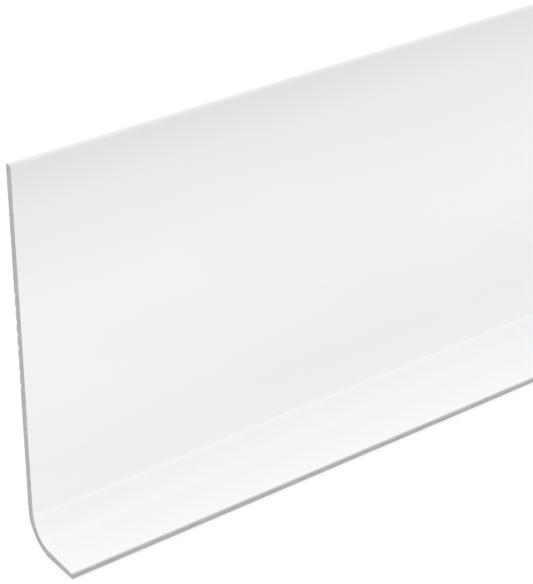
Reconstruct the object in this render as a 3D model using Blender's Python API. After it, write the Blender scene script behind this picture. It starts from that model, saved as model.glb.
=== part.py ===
"""A self-adhesive vinyl strip that closes the foot of a door or a wall.

The strip is an extruded section run along X. Its front faces -Y, +Z is up, y = 0 is the wall that it
sticks to, z = 0 is the floor, and x = 0 is the middle of its length. The tall web is firm vinyl, and the
coved toe is a softer vinyl that bends where it meets the web. Two bands of foam tape, each under its own
release liner, run along the back.
"""

import math

import bpy

# Overall sizes, in metres.
LENGTH = 1.2192
HEIGHT = 0.1016
TOE_DEPTH = 0.0190  # back of the web to the tip of the toe

# The extruded section.
WEB_THICKNESS = 0.0020
COVE_RADIUS = 0.0073  # front of the cove; the heel's radius is this and the thickness
TIP_THICKNESS = 0.0014
TIP_ROUND = 0.0006
TOP_ROUND = 0.0006

# Shallow grooves along the back, where the tape doesn't cover it.
GROOVE_PITCH = 0.0034
GROOVE_WIDTH = 0.0014
GROOVE_DEPTH = 0.0003
GROOVE_MARGIN = 0.0020

# Foam tape and its release liner.
TAPE_WIDTH = 0.0250
TAPE_THICKNESS = 0.0008
TAPE_END_INSET = 0.0060
UPPER_TAPE_DROP = 0.0050  # top of the web to the upper tape
LOWER_TAPE_RISE = 0.0060  # lower end of the web to the lower tape
LINER_THICKNESS = 0.0002
LINER_END_LAP = 0.0030
LINER_SIDE_LAP = 0.0020

# Clearances between pieces that touch.
SEAM_CLEARANCE = 0.0003  # toe to web, all round the joint
BOND_CLEARANCE = 0.0003  # web to tape, and tape to liner

ARC_STEPS = 12

# The section's places, as (y, z), from the wall forwards and from the floor up.
TAPE_FRONT_Y = -(LINER_THICKNESS + BOND_CLEARANCE + TAPE_THICKNESS)
BACK_Y = TAPE_FRONT_Y - BOND_CLEARANCE
FRONT_Y = BACK_Y - WEB_THICKNESS
TIP_Y = BACK_Y - TOE_DEPTH
HALF_THICKNESS = WEB_THICKNESS / 2
HEEL_RADIUS = COVE_RADIUS + WEB_THICKNESS
COVE_CENTRE = (FRONT_Y - COVE_RADIUS, HEEL_RADIUS)
HINGE = (BACK_Y - HALF_THICKNESS, HEEL_RADIUS)
SEAT_RADIUS = HALF_THICKNESS + SEAM_CLEARANCE
WEB_FOOT_Z = HINGE[1] + math.sqrt(SEAT_RADIUS**2 - HALF_THICKNESS**2)
LOWER_TAPE_Z = WEB_FOOT_Z + LOWER_TAPE_RISE + TAPE_WIDTH / 2
UPPER_TAPE_Z = HEIGHT - UPPER_TAPE_DROP - TAPE_WIDTH / 2


def clear_scene():
    for old in list(bpy.data.objects):
        bpy.data.objects.remove(old, do_unlink=True)


def collection(name):
    made = bpy.data.collections.new(name)
    bpy.context.scene.collection.children.link(made)
    return made


def material(name, colour, roughness):
    """A Principled material; nothing on the strip is metal."""
    made = bpy.data.materials.new(name)
    made.use_nodes = True
    shader = made.node_tree.nodes["Principled BSDF"]
    shader.inputs["Base Color"].default_value = (*colour, 1.0)
    shader.inputs["Roughness"].default_value = roughness
    shader.inputs["Metallic"].default_value = 0.0
    return made


def arc(centre, radius, start, end, steps=ARC_STEPS):
    """Points on an arc from one angle to another, in degrees from +Y towards +Z."""
    angles = [math.radians(start + (end - start) * i / steps) for i in range(steps + 1)]
    return [(centre[0] + radius * math.cos(a), centre[1] + radius * math.sin(a)) for a in angles]


def extrude_section(parts, name, outline, origin, length, finish):
    """Runs a closed (y, z) outline along X, with the object's origin at origin in the section."""
    curve = bpy.data.curves.new(name, "CURVE")
    curve.dimensions = "2D"
    curve.fill_mode = "BOTH"
    curve.extrude = length / 2
    spline = curve.splines.new("POLY")
    spline.points.add(len(outline) - 1)
    for point, (y, z) in zip(spline.points, outline):
        point.co = (y - origin[0], z - origin[1], 0.0, 1.0)
    spline.use_cyclic_u = True
    curve.materials.append(finish)
    piece = bpy.data.objects.new(name, curve)
    piece.location = (0.0, origin[0], origin[1])
    piece.rotation_euler = (math.radians(90), 0.0, math.radians(90))
    parts.objects.link(piece)
    return piece


def flat_strip(parts, name, front_y, thickness, centre_z, width, length, finish):
    """A thin rectangular band along X, behind front_y, with its origin in its own middle."""
    bpy.ops.mesh.primitive_cube_add(size=1.0)
    piece = bpy.context.object
    piece.name = name
    piece.data.name = name
    piece.scale = (length, thickness, width)
    bpy.ops.object.transform_apply(location=False, rotation=False, scale=True)
    piece.location = (0.0, front_y + thickness / 2, centre_z)
    piece.data.materials.append(finish)
    for holder in list(piece.users_collection):
        holder.objects.unlink(piece)
    parts.objects.link(piece)
    return piece


def groove_centres(low, high):
    """Heights of the grooves that fit between two bands, evenly placed about the middle."""
    room = high - low - 2 * GROOVE_MARGIN - GROOVE_WIDTH
    spaces = max(0, math.floor(room / GROOVE_PITCH))
    middle = (low + high) / 2
    return [middle + (i - spaces / 2) * GROOVE_PITCH for i in range(spaces + 1)]


def groove(z):
    """One shallow trapezoid groove in the back, from its lower edge to its upper edge."""
    half = GROOVE_WIDTH / 2
    floor_y = BACK_Y - GROOVE_DEPTH
    return [(BACK_Y, z - half), (floor_y, z - half / 2), (floor_y, z + half / 2), (BACK_Y, z + half)]


def make_web(parts, finish):
    """The firm wall: up the grooved back, over the top, down the front, and across the hollow seat."""
    half_tape = TAPE_WIDTH / 2
    outline = [(BACK_Y, WEB_FOOT_Z)]
    for z in groove_centres(LOWER_TAPE_Z + half_tape, UPPER_TAPE_Z - half_tape):
        outline += groove(z)
    outline.append((BACK_Y, HEIGHT))
    outline += arc((FRONT_Y + TOP_ROUND, HEIGHT - TOP_ROUND), TOP_ROUND, 90, 180, 6)
    seat_edge = math.degrees(math.acos(HALF_THICKNESS / SEAT_RADIUS))
    seat = arc(HINGE, SEAT_RADIUS, 180 - seat_edge, seat_edge)
    outline += seat[:-1]
    return extrude_section(parts, "web", outline, HINGE, LENGTH, finish)


def make_toe(parts, finish):
    """The soft foot: a round root in the web's seat, the cove, and a flat toe that thins to its tip."""
    taper = math.degrees(math.atan((WEB_THICKNESS - TIP_THICKNESS) / (COVE_CENTRE[0] - TIP_Y)))
    outline = arc(HINGE, HALF_THICKNESS, 0, 180)
    outline += arc(COVE_CENTRE, COVE_RADIUS, 0, taper - 90)[1:]
    outline += arc((TIP_Y + TIP_ROUND, TIP_THICKNESS - TIP_ROUND), TIP_ROUND, 90, 180, 6)
    outline.append((TIP_Y, 0.0))
    outline += arc(COVE_CENTRE, HEEL_RADIUS, -90, 0)[:-1]
    return extrude_section(parts, "toe", outline, HINGE, LENGTH, finish)


def make_tape(parts, name, centre_z, finish):
    """A band of double-sided foam tape against the back of the web."""
    length = LENGTH - 2 * TAPE_END_INSET
    return flat_strip(parts, name, TAPE_FRONT_Y, TAPE_THICKNESS, centre_z, TAPE_WIDTH, length, finish)


def make_liner(parts, name, centre_z, finish):
    """The release paper over a tape, which laps past it all round so that a finger can lift it."""
    length = LENGTH - 2 * (TAPE_END_INSET - LINER_END_LAP)
    width = TAPE_WIDTH + 2 * LINER_SIDE_LAP
    return flat_strip(parts, name, -LINER_THICKNESS, LINER_THICKNESS, centre_z, width, length, finish)


def build():
    clear_scene()
    parts = collection("coved_vinyl_strip")
    firm_vinyl = material("firm_vinyl", (0.86, 0.87, 0.865), 0.38)
    soft_vinyl = material("soft_vinyl", (0.87, 0.875, 0.875), 0.32)
    foam = material("foam_tape", (0.72, 0.73, 0.72), 0.8)
    paper = material("release_paper", (0.82, 0.76, 0.6), 0.55)
    make_web(parts, firm_vinyl)
    make_toe(parts, soft_vinyl)
    for level, centre_z in (("upper", UPPER_TAPE_Z), ("lower", LOWER_TAPE_Z)):
        make_tape(parts, f"{level}_tape", centre_z, foam)
        make_liner(parts, f"{level}_liner", centre_z, paper)


build()
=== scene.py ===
import math

import bmesh
import bpy
from mathutils import Matrix, Vector
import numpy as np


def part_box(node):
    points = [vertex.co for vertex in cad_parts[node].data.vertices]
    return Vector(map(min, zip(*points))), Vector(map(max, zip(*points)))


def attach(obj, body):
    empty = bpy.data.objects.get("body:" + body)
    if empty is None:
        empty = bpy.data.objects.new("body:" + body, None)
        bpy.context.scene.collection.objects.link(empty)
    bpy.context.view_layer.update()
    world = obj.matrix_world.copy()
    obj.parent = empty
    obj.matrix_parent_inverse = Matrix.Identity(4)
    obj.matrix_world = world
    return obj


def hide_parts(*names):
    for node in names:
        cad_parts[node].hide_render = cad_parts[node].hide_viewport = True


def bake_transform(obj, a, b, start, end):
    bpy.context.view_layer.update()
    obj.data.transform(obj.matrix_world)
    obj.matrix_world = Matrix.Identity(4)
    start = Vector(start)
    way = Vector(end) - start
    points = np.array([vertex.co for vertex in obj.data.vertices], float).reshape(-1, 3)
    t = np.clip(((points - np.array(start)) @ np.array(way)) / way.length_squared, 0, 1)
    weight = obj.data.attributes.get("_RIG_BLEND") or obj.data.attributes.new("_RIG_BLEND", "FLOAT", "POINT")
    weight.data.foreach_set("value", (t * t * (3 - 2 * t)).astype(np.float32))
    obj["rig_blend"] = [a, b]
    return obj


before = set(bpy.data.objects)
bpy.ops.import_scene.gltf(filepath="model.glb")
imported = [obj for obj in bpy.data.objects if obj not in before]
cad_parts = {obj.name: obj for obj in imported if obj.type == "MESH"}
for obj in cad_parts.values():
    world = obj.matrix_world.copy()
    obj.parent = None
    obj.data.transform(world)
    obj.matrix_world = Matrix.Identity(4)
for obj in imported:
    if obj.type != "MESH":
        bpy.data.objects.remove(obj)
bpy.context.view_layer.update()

# ---------------------------------------------------------------------------------------------------
# The web: the tall flat wall of the strip. It is firm white vinyl, extruded in one length and cut
# square, with a satin face that swells by a hair, a softened top edge, and shallow grooves down the
# middle of its back.
# ---------------------------------------------------------------------------------------------------
web_low, web_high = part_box("web")
toe_low, toe_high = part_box("toe")
half_length = web_high.x
front_y, back_y = web_low.y, web_high.y
thickness = back_y - front_y
# The root of the toe reaches half a thickness up into the web from the top of the cove.
heel_radius = toe_high.z - thickness / 2
cove_radius = heel_radius - thickness
cove_y = front_y - cove_radius
seam_z = heel_radius
TOP_FRONT_ROUND = 0.0006
TOP_BACK_ROUND = 0.0002
GROOVE_PITCH = 0.0034
GROOVE_WIDTH = 0.0014
GROOVE_DEPTH = 0.0003
GROOVES = 8
END_ARRIS = 0.00012
FACE_ROWS = 40
FACE_SWELL = 0.00015
SWELL_FOOT = 0.020
SWELL_HEIGHT = 0.070
WEB_WHITE = ((0.855, 0.865, 0.86), (0.875, 0.885, 0.88))
# Painted light and shade up the web's face, as multipliers on its white from the cove to the top edge: a
# little lighter just above the cove, painted shade growing towards the top edge.
PAINTED_SHADE_BANDS = (1.02, 0.97, 0.975, 0.985, 0.99, 0.98, 0.955, 0.92, 0.82)
BACK_TONE = 0.98
# The cut ends are painted mid grey, painted shade of the end faces turned from the light.
CUT_END_SHADE_GREY = ((0.36, 0.36, 0.355), (0.46, 0.46, 0.455))
DRAW_LINES = (2.0, 1400.0, 1400.0)
ORANGE_PEEL = (700.0, 700.0, 700.0)
PIGMENT_CLOUDS = (9.0, 40.0, 40.0)
SAW_MARKS = (300.0, 900.0, 5200.0)
END_SHADE_MOTTLE = (800.0, 800.0, 800.0)
HAIR = 0.000001
MERGE_DISTANCE = 0.000002
SQUARE_ON = 0.99
SHARP_ANGLE = math.radians(20)


def new_piece(name, bm, finishes):
    """Makes an object at the origin from a bmesh, shaded smooth apart from its real edges."""
    bmesh.ops.remove_doubles(bm, verts=bm.verts, dist=MERGE_DISTANCE)
    bmesh.ops.recalc_face_normals(bm, faces=bm.faces)
    mesh = bpy.data.meshes.new(name)
    bm.to_mesh(mesh)
    bm.free()
    for finish in finishes:
        mesh.materials.append(finish)
    mesh.shade_smooth()
    mesh.set_sharp_from_angle(angle=SHARP_ANGLE)
    piece = bpy.data.objects.new(name, mesh)
    bpy.context.scene.collection.objects.link(piece)
    return piece


def long_edges(bm, y, z):
    """The edges that run along the strip within a hair of the line at y and z."""
    return [
        e for e in bm.edges
        if abs(e.verts[0].co.x - e.verts[1].co.x) > half_length
        and all(abs(v.co.y - y) < HAIR and abs(v.co.z - z) < HAIR for v in e.verts)
    ]


def round_edges(bm, edges, radius, segments):
    """Rounds edges off to a radius."""
    bmesh.ops.bevel(
        bm, geom=edges, offset=radius, offset_type="OFFSET", segments=segments, profile=0.5,
        affect="EDGES", material=-1, clamp_overlap=True,
    )


def cut_across(bm, z):
    """Cuts the whole piece on a level plane, keeping both sides."""
    bmesh.ops.bisect_plane(
        bm, geom=bm.verts[:] + bm.edges[:] + bm.faces[:], dist=HAIR / 10,
        plane_co=(0, 0, z), plane_no=(0, 0, 1),
    )


def dress_ends(bm, slot_index):
    """Makes each square-cut end one face with its own finish, and takes the sharpness off its rim."""
    for side in (-1, 1):
        bm.normal_update()
        end_faces = [f for f in bm.faces if f.normal.x * side > SQUARE_ON]
        end_face = bmesh.ops.dissolve_faces(bm, faces=end_faces)["region"][0]
        end_face.material_index = slot_index
        round_edges(bm, end_face.edges[:], END_ARRIS, 2)


def shader_tree(name, roughness, specular=0.5):
    """A new material, its node tree and its Principled shader."""
    finish = bpy.data.materials.new(name)
    finish.use_nodes = True
    tree = finish.node_tree
    shader = tree.nodes["Principled BSDF"]
    shader.inputs["Roughness"].default_value = roughness
    shader.inputs["Specular IOR Level"].default_value = specular
    return finish, tree, shader


def place_pattern(tree, scale):
    """Object coordinates times a scale, which is how many times a pattern repeats in a metre."""
    where = tree.nodes.new("ShaderNodeTexCoord")
    mapping = tree.nodes.new("ShaderNodeMapping")
    mapping.inputs["Scale"].default_value = scale
    tree.links.new(where.outputs["Object"], mapping.inputs["Vector"])
    return mapping.outputs["Vector"]


def noise(tree, vector, detail, roughness=0.5):
    """A cloudy 0 to 1 pattern."""
    made = tree.nodes.new("ShaderNodeTexNoise")
    made.inputs["Scale"].default_value = 1.0
    made.inputs["Detail"].default_value = detail
    made.inputs["Roughness"].default_value = roughness
    tree.links.new(vector, made.inputs["Vector"])
    return made.outputs["Fac"]


def ramp(tree, factor, low, high, start=0.3, end=0.7):
    """Runs from one colour to another over the middle of a pattern."""
    made = tree.nodes.new("ShaderNodeValToRGB")
    made.color_ramp.elements[0].position = start
    made.color_ramp.elements[0].color = (*low, 1.0)
    made.color_ramp.elements[1].position = end
    made.color_ramp.elements[1].color = (*high, 1.0)
    tree.links.new(factor, made.inputs["Fac"])
    return made.outputs["Color"]


def spread(tree, factor, low, high):
    """Maps a 0 to 1 pattern onto a range of values."""
    made = tree.nodes.new("ShaderNodeMapRange")
    made.inputs["To Min"].default_value = low
    made.inputs["To Max"].default_value = high
    tree.links.new(factor, made.inputs["Value"])
    return made.outputs["Result"]


def emboss(tree, shader, layers):
    """Chains bump layers, each (height pattern, strength, depth in metres), into the shader."""
    normal = None
    for height, strength, depth in layers:
        made = tree.nodes.new("ShaderNodeBump")
        made.inputs["Strength"].default_value = strength
        made.inputs["Distance"].default_value = depth
        tree.links.new(height, made.inputs["Height"])
        if normal:
            tree.links.new(normal, made.inputs["Normal"])
        normal = made.outputs["Normal"]
    tree.links.new(normal, shader.inputs["Normal"])


def point_value(tree, name):
    """Reads a value that is stored on the mesh's own points."""
    made = tree.nodes.new("ShaderNodeAttribute")
    made.attribute_name = name
    return made.outputs["Fac"]


def mix_colours(tree, kind, factor, first, second):
    """Blends two linked colours by a fixed or a linked factor."""
    made = tree.nodes.new("ShaderNodeMix")
    made.data_type = "RGBA"
    made.blend_type = kind
    if isinstance(factor, float):
        made.inputs["Factor"].default_value = factor
    else:
        tree.links.new(factor, made.inputs["Factor"])
    tree.links.new(first, made.inputs["A"])
    tree.links.new(second, made.inputs["B"])
    return made.outputs["Result"]


def extruded_vinyl(name, low, high, roughness):
    """White vinyl from a die: faint draw lines along it, a fine orange peel, cloudy pigment, and
    broad bands of painted light and shade, a touch whiter or greyer than the rest, whose strength is stored
    on the points."""
    finish, tree, shader = shader_tree(name, roughness)
    draw_lines = noise(tree, place_pattern(tree, DRAW_LINES), detail=2.0)
    peel = noise(tree, place_pattern(tree, ORANGE_PEEL), detail=2.0)
    cloud = noise(tree, place_pattern(tree, PIGMENT_CLOUDS), detail=4.0)
    white = ramp(tree, cloud, low, high)
    # The white is multiplied by the painted light and shade stored on the points.
    painted_shading = mix_colours(tree, "MULTIPLY", 1.0, white, point_value(tree, "painted_light"))
    tree.links.new(painted_shading, shader.inputs["Base Color"])
    sheen = spread(tree, draw_lines, roughness - 0.05, roughness + 0.05)
    tree.links.new(sheen, shader.inputs["Roughness"])
    emboss(tree, shader, [(draw_lines, 0.12, 0.00002), (peel, 0.10, 0.00003)])
    return finish


def cut_vinyl(name, low, high):
    """The sawn end of the vinyl: duller, with fine upright saw marks, and painted mid grey as painted shade
    of the end faces.
    """
    finish, tree, shader = shader_tree(name, 0.65)
    marks = noise(tree, place_pattern(tree, SAW_MARKS), detail=3.0)
    end_shade_mottle = noise(tree, place_pattern(tree, END_SHADE_MOTTLE), detail=4.0)
    tree.links.new(ramp(tree, end_shade_mottle, low, high), shader.inputs["Base Color"])
    emboss(tree, shader, [(marks, 0.5, 0.00005)])
    return finish


web_vinyl = extruded_vinyl("firm_white_vinyl", *WEB_WHITE, 0.36)
web_cut = cut_vinyl("sawn_vinyl_end_painted_shade", *CUT_END_SHADE_GREY)

bm = bmesh.new()
bmesh.ops.create_cube(bm, size=1.0)
bmesh.ops.scale(bm, vec=(2 * half_length, thickness, web_high.z - seam_z), verts=bm.verts)
bmesh.ops.translate(bm, vec=(0, (front_y + back_y) / 2, (web_high.z + seam_z) / 2), verts=bm.verts)
round_edges(bm, long_edges(bm, front_y, web_high.z), TOP_FRONT_ROUND, 6)
round_edges(bm, long_edges(bm, back_y, web_high.z), TOP_BACK_ROUND, 5)

# Each groove is a narrow band of the back pushed in, which leaves it sloping sides.
tape_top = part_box("lower_tape")[1].z
tape_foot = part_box("upper_tape")[0].z
for i in range(GROOVES):
    groove_z = (tape_top + tape_foot) / 2 + (i - (GROOVES - 1) / 2) * GROOVE_PITCH
    for offset in (-GROOVE_WIDTH / 2, -GROOVE_WIDTH / 4, GROOVE_WIDTH / 4, GROOVE_WIDTH / 2):
        cut_across(bm, groove_z + offset)
    groove_floor = [
        v for v in bm.verts
        if abs(v.co.y - back_y) < HAIR and abs(v.co.z - groove_z) < GROOVE_WIDTH / 4 + HAIR
    ]
    bmesh.ops.translate(bm, vec=(0, -GROOVE_DEPTH, 0), verts=groove_floor)

# Level cuts up the web let its face swell, and carry its bands of painted light and shade.
face_top = web_high.z - TOP_FRONT_ROUND
for i in range(1, FACE_ROWS):
    cut_across(bm, seam_z + (face_top - seam_z) * i / FACE_ROWS)
for v in bm.verts:
    if v.co.y < front_y + HAIR:
        rise = (v.co.z - SWELL_FOOT) / SWELL_HEIGHT
        v.co.y -= FACE_SWELL * (1 - math.cos(2 * math.pi * rise)) / 2
dress_ends(bm, 1)
# The front face is painted in bands up its height: painted light just above the cove and painted shade
# towards the top edge; the back gets one even value.
painted_light_layer = bm.verts.layers.float.new("painted_light")
for v in bm.verts:
    place = (v.co.z - seam_z) / (web_high.z - seam_z) * (len(PAINTED_SHADE_BANDS) - 1)
    i = min(int(place), len(PAINTED_SHADE_BANDS) - 2)
    painted_shading = PAINTED_SHADE_BANDS[i] + (PAINTED_SHADE_BANDS[i + 1] - PAINTED_SHADE_BANDS[i]) * (place - i)
    v[painted_light_layer] = painted_shading if v.co.y < (front_y + back_y) / 2 else BACK_TONE
web_skin = new_piece("web_face", bm, [web_vinyl, web_cut])
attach(web_skin, "strip")
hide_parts("web")

# ---------------------------------------------------------------------------------------------------
# The toe: the coved foot, a softer vinyl that comes out of the same die and is welded to the web as
# it cools, which leaves a low lip along the top of the cove, with a painted highlight just below it. It
# bends over the whole cove when something lifts its tip, and it thins towards that tip, whose blunt
# edge is painted grey as painted shade.
# ---------------------------------------------------------------------------------------------------
TIP_THICKNESS = 0.0014
TIP_ROUND = 0.0006
SOLE_ROUND = 0.0002
COVE_STEPS = 48
LIP_RISE = 0.00018
LIP_TURN = math.radians(10)
LIP_FADE = math.radians(55)
# How far back from the tip the painted shade reaches.
TIP_SHADE_REACH = 0.0007
TOE_TONE = 1.0
# A painted highlight: the cove is painted a little lighter over its first turn below the seam.
SEAM_HIGHLIGHT_TONE = 1.035
SEAM_HIGHLIGHT_START = math.radians(7)
SEAM_HIGHLIGHT_END = math.radians(22)
SEAM_HIGHLIGHT_FADE = math.radians(15)
TOE_WHITE = ((0.865, 0.87, 0.875), (0.885, 0.89, 0.895))
# The grey painted along the toe's tip edge, as painted shade.
TIP_SHADE_GREY = ((0.34, 0.34, 0.335), (0.44, 0.44, 0.435))
TIP_SHADE_MOTTLE = (260.0, 1500.0, 1500.0)


def smooth_step(x):
    """Rises from 0 to 1 with soft ends."""
    x = min(max(x, 0.0), 1.0)
    return x * x * (3 - 2 * x)


toe_vinyl = extruded_vinyl("soft_white_vinyl", *TOE_WHITE, 0.32)
tree = toe_vinyl.node_tree
colour = tree.nodes["Principled BSDF"].inputs["Base Color"]
# The white blends to grey towards the tip edge: painted shade along the tip.
tip_shade_mottle = noise(tree, place_pattern(tree, TIP_SHADE_MOTTLE), detail=4.0, roughness=0.6)
tip_shade_colour = ramp(tree, tip_shade_mottle, *TIP_SHADE_GREY)
white = colour.links[0].from_socket
tree.links.new(mix_colours(tree, "MIX", point_value(tree, "tip_shade"), white, tip_shade_colour), colour)

# The section is drawn at one end. Its root turns through the cove, and its lip stands out at the top.
bm = bmesh.new()
root = [bm.verts.new((-half_length, y, seam_z)) for y in (front_y, back_y)]
root_edge = bm.edges.new(root)
turned = bmesh.ops.spin(
    bm, geom=[*root, root_edge], cent=(0, cove_y, heel_radius), axis=(1, 0, 0), dvec=(0, 0, 0),
    angle=-math.pi / 2, steps=COVE_STEPS,
)
centre = Vector((-half_length, cove_y, heel_radius))
painted_light_layer = bm.verts.layers.float.new("painted_light")
for v in bm.verts:
    spoke = v.co - centre
    turn = math.atan2(-spoke.z, spoke.y)
    # Painted highlight: a pale band a few degrees into the cove, fading out further round.
    seam_highlight = smooth_step(turn / SEAM_HIGHLIGHT_START) * smooth_step((SEAM_HIGHLIGHT_END - turn) / SEAM_HIGHLIGHT_FADE)
    v[painted_light_layer] = TOE_TONE + (SEAM_HIGHLIGHT_TONE - TOE_TONE) * seam_highlight
    if spoke.length < cove_radius + thickness / 2:
        lip = smooth_step(turn / LIP_TURN) * smooth_step(1 - (turn - LIP_TURN) / LIP_FADE)
        v.co -= spoke.normalized() * LIP_RISE * lip

# It then runs on to the tip, thinning as it goes, and is drawn out along the strip.
last_edge = [e for e in turned["geom_last"] if isinstance(e, bmesh.types.BMEdge)]
for far_y in (toe_low.y + TIP_SHADE_REACH, toe_low.y):
    drawn = bmesh.ops.extrude_edge_only(bm, edges=last_edge)["geom"]
    last_edge = [e for e in drawn if isinstance(e, bmesh.types.BMEdge)]
    far_z = thickness + (TIP_THICKNESS - thickness) * (far_y - cove_y) / (toe_low.y - cove_y)
    for v in drawn:
        if isinstance(v, bmesh.types.BMVert):
            v.co.y = far_y
            v.co.z = min(v.co.z, far_z)
run = bmesh.ops.extrude_face_region(bm, geom=bm.faces[:])
far = [v for v in run["geom"] if isinstance(v, bmesh.types.BMVert)]
bmesh.ops.translate(bm, vec=(2 * half_length, 0, 0), verts=far)
round_edges(bm, long_edges(bm, toe_low.y, TIP_THICKNESS), TIP_ROUND, 6)
round_edges(bm, long_edges(bm, toe_low.y, 0), SOLE_ROUND, 5)
bmesh.ops.recalc_face_normals(bm, faces=bm.faces)
dress_ends(bm, 1)
tip_shade_layer = bm.verts.layers.float.new("tip_shade")
painted_light_layer = bm.verts.layers.float["painted_light"]
# Past the cove the toe has no painted highlight; the last stretch to the tip is painted grey as painted
# shade.
for v in bm.verts:
    if v.co.y < cove_y - HAIR:
        v[painted_light_layer] = TOE_TONE
    v[tip_shade_layer] = smooth_step((toe_low.y + TIP_SHADE_REACH - v.co.y) / TIP_SHADE_REACH)
toe_skin = new_piece("toe_face", bm, [toe_vinyl, web_cut])
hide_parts("toe")
hinge = Vector((0, (front_y + back_y) / 2, heel_radius))
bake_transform(toe_skin, "strip", "flexible_toe", start=hinge, end=(hinge.x, hinge.y, thickness))

# ---------------------------------------------------------------------------------------------------
# The foam tapes: two bands of closed-cell foam with a clear tacky skin. They are rolled onto the back
# of the web when it is made, and stop a little short of each end.
# ---------------------------------------------------------------------------------------------------
TAPE_ARRIS = 0.00015
FOAM_GREY = ((0.62, 0.63, 0.62), (0.80, 0.81, 0.80))
ADHESIVE_GREY = ((0.70, 0.71, 0.69), (0.76, 0.77, 0.75))
FOAM_CELLS = (3200.0, 3200.0, 3200.0)
ROLLED_WAVES = (60.0, 400.0, 400.0)
ADHESIVE_PITS = (1500.0, 1500.0, 1500.0)
foam, tree, shader = shader_tree("closed_cell_foam", 0.85, 0.3)
cells = tree.nodes.new("ShaderNodeTexVoronoi")
cells.inputs["Scale"].default_value = 1.0
tree.links.new(place_pattern(tree, FOAM_CELLS), cells.inputs["Vector"])
cell_grey = ramp(tree, cells.outputs["Distance"], *FOAM_GREY, 0.05, 0.6)
tree.links.new(cell_grey, shader.inputs["Base Color"])
emboss(tree, shader, [(cells.outputs["Distance"], 0.6, 0.00006)])

tack, tree, shader = shader_tree("tacky_adhesive", 0.22)
shader.inputs["Coat Weight"].default_value = 0.6
shader.inputs["Coat Roughness"].default_value = 0.12
rolled = noise(tree, place_pattern(tree, ROLLED_WAVES), detail=4.0)
pits = noise(tree, place_pattern(tree, ADHESIVE_PITS), detail=2.0)
tree.links.new(ramp(tree, rolled, *ADHESIVE_GREY), shader.inputs["Base Color"])
emboss(tree, shader, [(rolled, 0.3, 0.00008), (pits, 0.25, 0.00003)])

for level in ("upper", "lower"):
    low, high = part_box(level + "_tape")
    liner_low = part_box(level + "_liner")[0]
    bm = bmesh.new()
    bmesh.ops.create_cube(bm, size=1.0)
    bmesh.ops.scale(bm, vec=(high.x - low.x, liner_low.y - back_y, high.z - low.z), verts=bm.verts)
    bmesh.ops.translate(bm, vec=(0, (liner_low.y + back_y) / 2, (low.z + high.z) / 2), verts=bm.verts)
    bm.normal_update()
    sticky = [f for f in bm.faces if f.normal.y > SQUARE_ON]
    round_edges(bm, list({e for f in sticky for e in f.edges}), TAPE_ARRIS, 2)
    bm.normal_update()
    for face in bm.faces:
        face.material_index = 1 if face.normal.y > 0.5 else 0
    tape = new_piece(level + "_foam_tape", bm, [foam, tack])
    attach(tape, "strip")
    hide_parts(level + "_tape")

# ---------------------------------------------------------------------------------------------------
# The release liners: waxy coated paper over each tape, wider and longer than it so that a finger can
# lift an edge. The paper has cockled a little in store, and pulls away from the tape without tearing.
# ---------------------------------------------------------------------------------------------------
LINER_THICKNESS = 0.00012
COCKLE = 0.00008
COCKLE_LENGTH = 0.055
COCKLE_DRIFT = 3.0
DRIFT_RATE = 7.0
LINER_COLUMNS = 240
LINER_ROWS = 10
PAPER_CREAM = ((0.78, 0.71, 0.53), (0.84, 0.78, 0.62))
PAPER_FIBRES = (500.0, 2600.0, 2600.0)
PAPER_FLECKS = (90.0, 160.0, 160.0)
paper, tree, shader = shader_tree("waxed_release_paper", 0.5)
shader.inputs["Coat Weight"].default_value = 0.25
shader.inputs["Coat Roughness"].default_value = 0.3
fibres = noise(tree, place_pattern(tree, PAPER_FIBRES), detail=4.0, roughness=0.6)
flecks = noise(tree, place_pattern(tree, PAPER_FLECKS), detail=5.0)
tree.links.new(ramp(tree, flecks, *PAPER_CREAM), shader.inputs["Base Color"])
tree.links.new(spread(tree, fibres, 0.42, 0.58), shader.inputs["Roughness"])
emboss(tree, shader, [(fibres, 0.2, 0.00003)])

for level, phase in (("upper", 0.0), ("lower", 1.7)):
    low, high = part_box(level + "_liner")
    bm = bmesh.new()
    bmesh.ops.create_grid(bm, x_segments=LINER_COLUMNS, y_segments=LINER_ROWS, size=0.5)
    upright = Matrix.Rotation(math.radians(90), 3, "X")
    bmesh.ops.rotate(bm, cent=(0, 0, 0), matrix=upright, verts=bm.verts)
    bmesh.ops.scale(bm, vec=(high.x - low.x, 1, high.z - low.z), verts=bm.verts)
    bmesh.ops.translate(bm, vec=(0, high.y - LINER_THICKNESS, (low.z + high.z) / 2), verts=bm.verts)
    for v in bm.verts:
        drift = phase + COCKLE_DRIFT * math.sin(DRIFT_RATE * v.co.x)
        wave = math.sin(2 * math.pi * v.co.x / COCKLE_LENGTH + drift)
        across = math.pi * (v.co.z - low.z) / (high.z - low.z)
        v.co.y -= COCKLE / 2 * (1 + wave * math.cos(across))
    bmesh.ops.recalc_face_normals(bm, faces=bm.faces)
    bm.normal_update()
    if sum(f.normal.y for f in bm.faces) > 0:
        bmesh.ops.reverse_faces(bm, faces=bm.faces)
    bmesh.ops.solidify(bm, geom=bm.faces[:], thickness=LINER_THICKNESS)
    liner = new_piece(level + "_paper_liner", bm, [paper])
    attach(liner, level + "_release_liner")
    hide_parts(level + "_liner")

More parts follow.
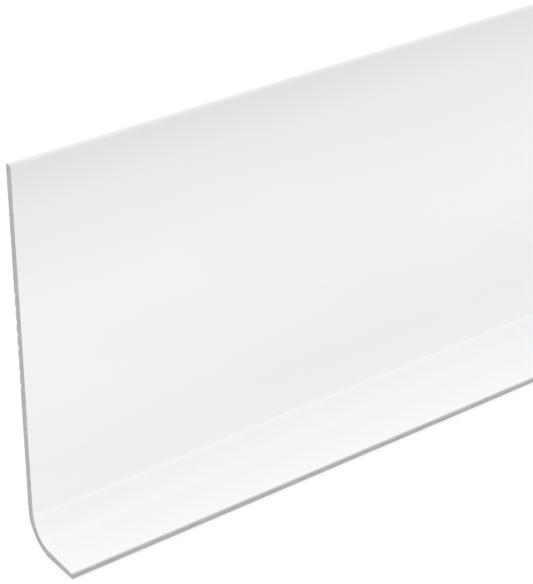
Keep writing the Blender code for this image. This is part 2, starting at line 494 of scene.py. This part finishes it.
# ---------------------------------------------------------------------------------------------------
# The studio: a plain floor with a pale glow of its own, in a pale evenly lit room with one wide soft
# light overhead. The floor is clear from below, so that the strip's sole can be looked at too. The
# camera looks down on the near end of the strip.
# ---------------------------------------------------------------------------------------------------
FLOOR_SPAN = 30.0
FLOOR_GAP = 0.0003
FLOOR_TONE = 0.4
FLOOR_GLOW = 0.6
ROOM_LIGHT = 0.95
LAMP_LIGHT = 0.6
LAMP_WIDTH = math.radians(35)
LAMP_FROM = Vector((0.1, -0.1, 1.4))
bpy.ops.mesh.primitive_plane_add(size=FLOOR_SPAN)
floor = bpy.context.object
floor.name = "studio_floor"
floor.data.transform(Matrix.Translation((0, 0, -FLOOR_GAP)))
floor_paper, tree, shader = shader_tree("floor_paper", 0.9, 0.0)
shader.inputs["Base Color"].default_value = (FLOOR_TONE, FLOOR_TONE, FLOOR_TONE, 1)
shader.inputs["Emission Color"].default_value = (1, 1, 1, 1)
shader.inputs["Emission Strength"].default_value = FLOOR_GLOW
geometry = tree.nodes.new("ShaderNodeNewGeometry")
clear = tree.nodes.new("ShaderNodeBsdfTransparent")
one_sided = tree.nodes.new("ShaderNodeMixShader")
tree.links.new(geometry.outputs["Backfacing"], one_sided.inputs["Fac"])
tree.links.new(shader.outputs["BSDF"], one_sided.inputs[1])
tree.links.new(clear.outputs["BSDF"], one_sided.inputs[2])
tree.links.new(one_sided.outputs["Shader"], tree.nodes["Material Output"].inputs["Surface"])
floor.data.materials.append(floor_paper)

world = bpy.data.worlds.new("studio")
bpy.context.scene.world = world
world.use_nodes = True
room = world.node_tree.nodes["Background"]
room.inputs["Color"].default_value = (1, 1, 1, 1)
room.inputs["Strength"].default_value = ROOM_LIGHT

lamp = bpy.data.lights.new("overhead_light", "SUN")
lamp.energy = LAMP_LIGHT
lamp.angle = LAMP_WIDTH
overhead = bpy.data.objects.new("overhead_light", lamp)
overhead.rotation_euler = LAMP_FROM.to_track_quat("Z", "Y").to_euler()
bpy.context.scene.collection.objects.link(overhead)

CAMERA_LENS = 133.1
CAMERA_DISTANCE = 0.5341
CAMERA_TURN = math.radians(36.71)
CAMERA_DROP = math.radians(29.41)
AIM_ALONG = 0.0697
AIM_BELOW_TOP = 0.0550
aim = Vector((-half_length + AIM_ALONG, front_y, web_high.z - AIM_BELOW_TOP))
forward = Vector((
    math.sin(CAMERA_TURN) * math.cos(CAMERA_DROP),
    math.cos(CAMERA_TURN) * math.cos(CAMERA_DROP),
    -math.sin(CAMERA_DROP),
))
lens = bpy.data.cameras.new("camera")
lens.lens = CAMERA_LENS
lens.sensor_width = 36
lens.clip_start = 0.01
lens.clip_end = 50
camera = bpy.data.objects.new("camera", lens)
camera.location = aim - forward * CAMERA_DISTANCE
camera.rotation_euler = forward.to_track_quat("-Z", "Y").to_euler()
bpy.context.scene.collection.objects.link(camera)
bpy.context.scene.camera = camera
bpy.context.scene.view_settings.view_transform = "Standard"
